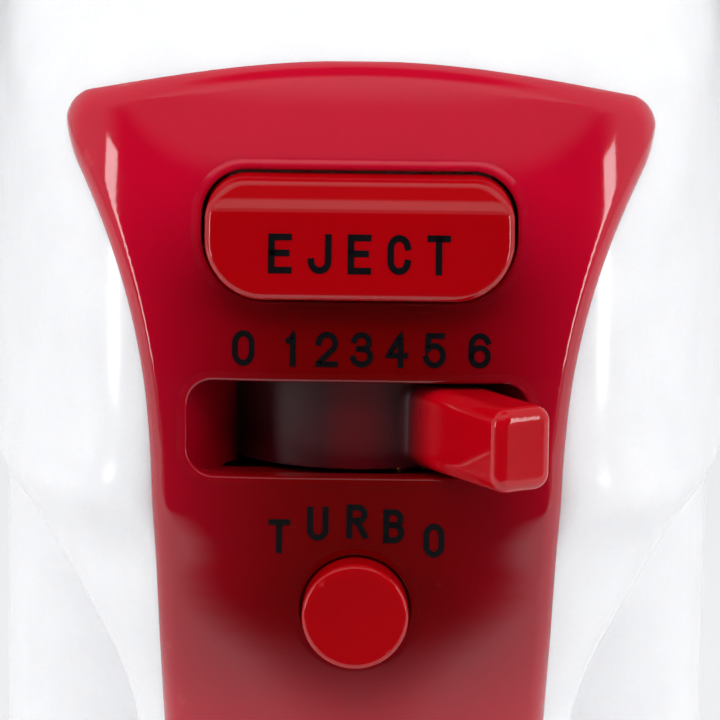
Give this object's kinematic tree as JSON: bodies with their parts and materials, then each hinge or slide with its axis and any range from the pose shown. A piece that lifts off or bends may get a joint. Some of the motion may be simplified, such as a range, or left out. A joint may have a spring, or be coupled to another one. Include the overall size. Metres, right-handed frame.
{
  "type": "hand mixer",
  "caption": "Electric hand mixer standing on its heel, with a closed handle, speed lever, turbo and eject buttons, worm drive and push-out whisk beaters.",
  "frame": {"origin": "on the face of the heel pad, on the motor axis", "axes": "+Z from the heel to the nose along the motor axis, +Y along the beaters away from the handle, -Y the side with the controls"},
  "size_m": [0.09, 0.2635, 0.198],
  "materials": {
    "white_gloss_plastic": "high gloss white ABS",
    "red_gloss_plastic": "high gloss red ABS",
    "red_collar_plastic": "satin red acetal",
    "heel_rubber": "matt grey rubber",
    "black_plastic": "matt black polyamide",
    "spring_steel": "drawn spring wire and strip",
    "bright_steel": "ground and drawn steel",
    "chromed_steel": "polished chromed steel",
    "zinc_screw": "zinc plated",
    "copper": "enamelled and bare copper",
    "circuit_board": "green glass epoxy",
    "capacitor_case": "yellow box capacitor",
    "ferrite": "ferrite core with a copper winding",
    "device_case": "moulded epoxy with a metal tab",
    "cast_aluminium": "die cast",
    "ivory_plastic": "unfilled acetal and polyamide",
    "lamination_steel": "stacked electrical steel",
    "sintered_bronze": "oil filled sintered bronze",
    "carbon": "carbon graphite",
    "phenolic": "moulded phenolic resin",
    "wire_sleeve": "silicone wire sleeve"
  },
  "bodies": {
    "housing": {"upper_housing": "white_gloss_plastic", "lower_housing": "white_gloss_plastic", "handle_cover": "red_gloss_plastic", "heel_pad": "heel_rubber", "cord_gland": "heel_rubber", "eject_spring": "spring_steel", "eject_guide": "black_plastic", "lever_pivot_pin": "bright_steel", "contact_board": "circuit_board", "detent_spring": "spring_steel", "switch_carrier": "black_plastic", "turbo_spring": "spring_steel", "turbo_switch": "black_plastic", "control_board": "circuit_board", "suppression_capacitor": "capacitor_case", "triac": "device_case", "heat_sink": "cast_aluminium", "choke": "ferrite", "terminal_block": "ivory_plastic", "motor_stator": "lamination_steel", "field_coils": "copper", "motor_bolts": "bright_steel", "rear_bearing_bracket": "ivory_plastic", "front_bearing_bracket": "cast_aluminium", "bearing_bushes": "sintered_bronze", "brush_holders": "black_plastic", "carbon_brushes": "carbon", "worm_end_bush": "sintered_bronze", "gearbox_frame": "cast_aluminium", "spindle_bushes": "sintered_bronze", "housing_screws": "zinc_screw", "gearbox_screws": "zinc_screw", "handle_screws": "zinc_screw", "motor_leads": "wire_sleeve"},
    "rotor": {"armature_core": "lamination_steel", "armature_windings": "copper", "commutator": "copper", "commutator_hub": "phenolic", "motor_shaft": "bright_steel", "cooling_fan": "ivory_plastic", "worm_screw": "bright_steel"},
    "left_spindle": {"gear_left": "ivory_plastic"},
    "right_spindle": {"gear_right": "ivory_plastic"},
    "left_ejector": {"ejector_pin_left": "bright_steel"},
    "right_ejector": {"ejector_pin_right": "bright_steel"},
    "left_beater": {"beater_left_shaft": "chromed_steel", "beater_left_blades": "chromed_steel", "beater_left_collar": "red_collar_plastic"},
    "right_beater": {"beater_right_shaft": "chromed_steel", "beater_right_blades": "chromed_steel", "beater_right_collar": "red_collar_plastic"},
    "eject_control": {"eject_button": "red_gloss_plastic", "eject_yoke": "black_plastic"},
    "speed_control": {"speed_lever": "red_gloss_plastic", "wiper_contact": "copper"},
    "turbo_control": {"turbo_button": "red_gloss_plastic", "turbo_plunger": "black_plastic"}
  },
  "joints": [
    {"name": "motor_spin", "type": "hinge", "parent": "housing", "child": "rotor", "pos_m": [0, 0, 0.1], "axis": [0, 0, 1], "continuous": true},
    {"name": "left_spindle_spin", "type": "hinge", "parent": "housing", "child": "left_spindle", "pos_m": [-0.02, 0, 0.152], "axis": [0, 1, 0], "continuous": true},
    {"name": "right_spindle_spin", "type": "hinge", "parent": "housing", "child": "right_spindle", "pos_m": [0.02, 0, 0.152], "axis": [0, 1, 0], "continuous": true},
    {"name": "eject_press", "type": "slide", "parent": "housing", "child": "eject_control", "axis": [0, 1, 0], "range_m": [0, 0.008], "stiffness_N_per_m": 500, "springref_m": -0.004, "deforming": ["eject_spring"]},
    {"name": "left_eject_slide", "type": "slide", "parent": "left_spindle", "child": "left_ejector", "axis": [0, 1, 0], "range_m": [0, 0.008]},
    {"name": "right_eject_slide", "type": "slide", "parent": "right_spindle", "child": "right_ejector", "axis": [0, 1, 0], "range_m": [0, 0.008]},
    {"name": "left_beater_pull", "type": "slide", "parent": "left_ejector", "child": "left_beater", "axis": [0, 1, 0], "range_m": [0, 0.055]},
    {"name": "right_beater_pull", "type": "slide", "parent": "right_ejector", "child": "right_beater", "axis": [0, 1, 0], "range_m": [0, 0.055]},
    {"name": "speed_select", "type": "hinge", "parent": "housing", "child": "speed_control", "pos_m": [0, -0.0745, 0.1315], "axis": [0, 0, 1], "range_deg": [-66, 0], "deforming": ["detent_spring"]},
    {"name": "turbo_press", "type": "slide", "parent": "housing", "child": "turbo_control", "axis": [0, 1, 0], "range_m": [0, 0.0025], "stiffness_N_per_m": 500, "springref_m": -0.002, "deforming": ["turbo_spring"]}
  ],
  "couplings": [
    {"joint": "left_spindle_spin", "follows": "motor_spin", "ratio": 0.0625},
    {"joint": "right_spindle_spin", "follows": "motor_spin", "ratio": -0.0625},
    {"joint": "left_eject_slide", "follows": "eject_press", "ratio": 1},
    {"joint": "right_eject_slide", "follows": "eject_press", "ratio": 1}
  ]
}
